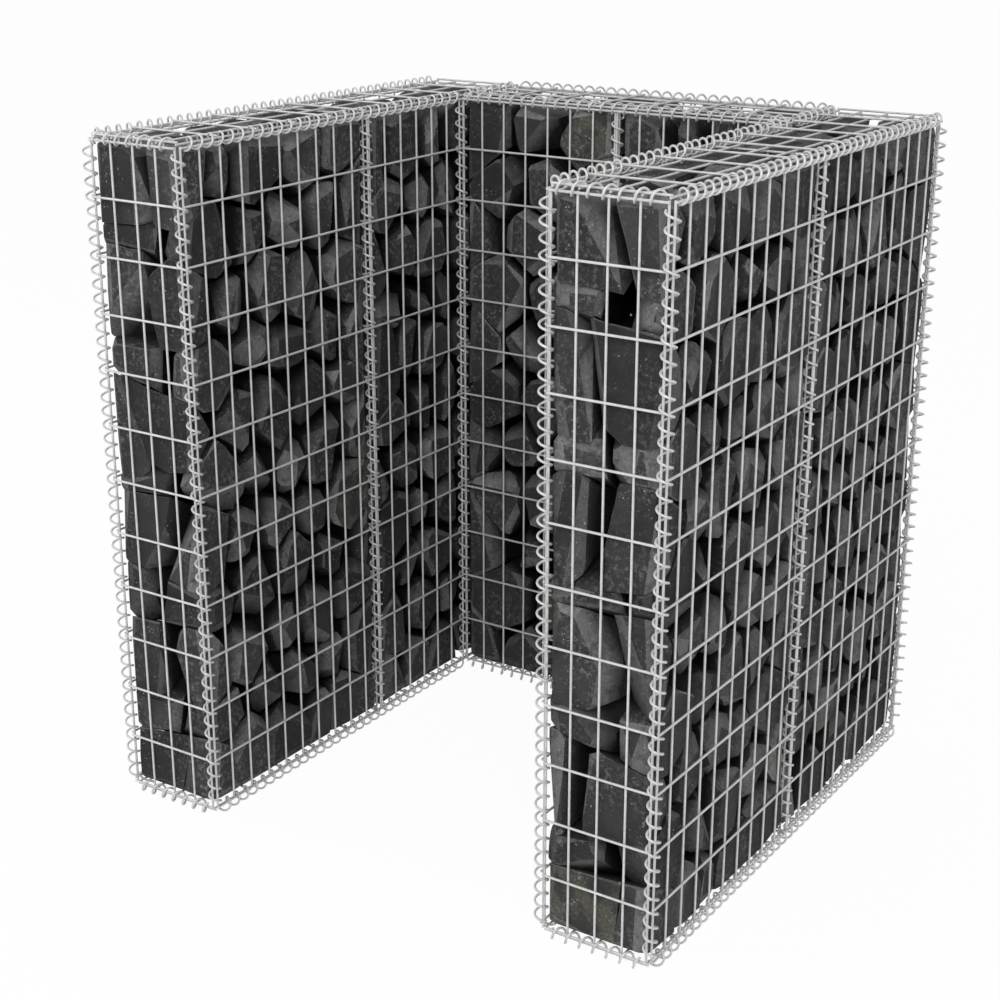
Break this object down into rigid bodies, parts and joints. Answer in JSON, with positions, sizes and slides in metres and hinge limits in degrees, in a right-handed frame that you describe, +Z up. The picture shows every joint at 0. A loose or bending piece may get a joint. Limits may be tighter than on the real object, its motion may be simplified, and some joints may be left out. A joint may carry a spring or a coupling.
{
  "type": "gabion basket",
  "caption": "U-shaped gabion surround: welded mesh walls laced with spiral binders and filled with broken stone, open to the front and above.",
  "frame": {"origin": "on the ground, under the middle of the whole basket", "axes": "+Z up, the open side of the U faces -Y, +X to the right seen from the open side"},
  "size_m": [1.1246, 1.0246, 1.2245],
  "materials": {
    "mesh_wire": "hot-dip galvanised, satin",
    "binder_wire": "hot-dip galvanised, satin",
    "stone_fill": "broken basalt, matt"
  },
  "bodies": {
    "root": {"back_base": "mesh_wire", "back_bottom_spirals": "binder_wire", "back_inner_left_panel": "mesh_wire", "back_inner_right_panel": "mesh_wire", "back_left_stones": "stone_fill", "back_lid": "mesh_wire", "back_outer_left_panel": "mesh_wire", "back_outer_right_panel": "mesh_wire", "back_partition": "mesh_wire", "back_partition_spirals": "binder_wire", "back_right_stones": "stone_fill", "back_top_spirals": "binder_wire", "left_arm_base": "mesh_wire", "left_arm_lid": "mesh_wire", "left_arm_partition": "mesh_wire", "left_back_end_panel": "mesh_wire", "left_bottom_end_spirals": "binder_wire", "left_bottom_inner_spiral": "binder_wire", "left_bottom_outer_spiral": "binder_wire", "left_front_corner_spirals": "binder_wire", "left_front_end_panel": "mesh_wire", "left_front_stones": "stone_fill", "left_inner_front_panel": "mesh_wire", "left_inner_rear_panel": "mesh_wire", "left_junction_partition": "mesh_wire", "left_outer_front_panel": "mesh_wire", "left_outer_rear_panel": "mesh_wire", "left_partition_spirals": "binder_wire", "left_rear_corner_spirals": "binder_wire", "left_rear_stones": "stone_fill", "left_top_end_spirals": "binder_wire", "left_top_inner_spiral": "binder_wire", "left_top_outer_spiral": "binder_wire", "right_arm_base": "mesh_wire", "right_arm_lid": "mesh_wire", "right_arm_partition": "mesh_wire", "right_back_end_panel": "mesh_wire", "right_bottom_end_spirals": "binder_wire", "right_bottom_inner_spiral": "binder_wire", "right_bottom_outer_spiral": "binder_wire", "right_front_corner_spirals": "binder_wire", "right_front_end_panel": "mesh_wire", "right_front_stones": "stone_fill", "right_inner_front_panel": "mesh_wire", "right_inner_rear_panel": "mesh_wire", "right_junction_partition": "mesh_wire", "right_outer_front_panel": "mesh_wire", "right_outer_rear_panel": "mesh_wire", "right_partition_spirals": "binder_wire", "right_rear_corner_spirals": "binder_wire", "right_rear_stones": "stone_fill", "right_top_end_spirals": "binder_wire", "right_top_inner_spiral": "binder_wire", "right_top_outer_spiral": "binder_wire"}
  },
  "joints": []
}
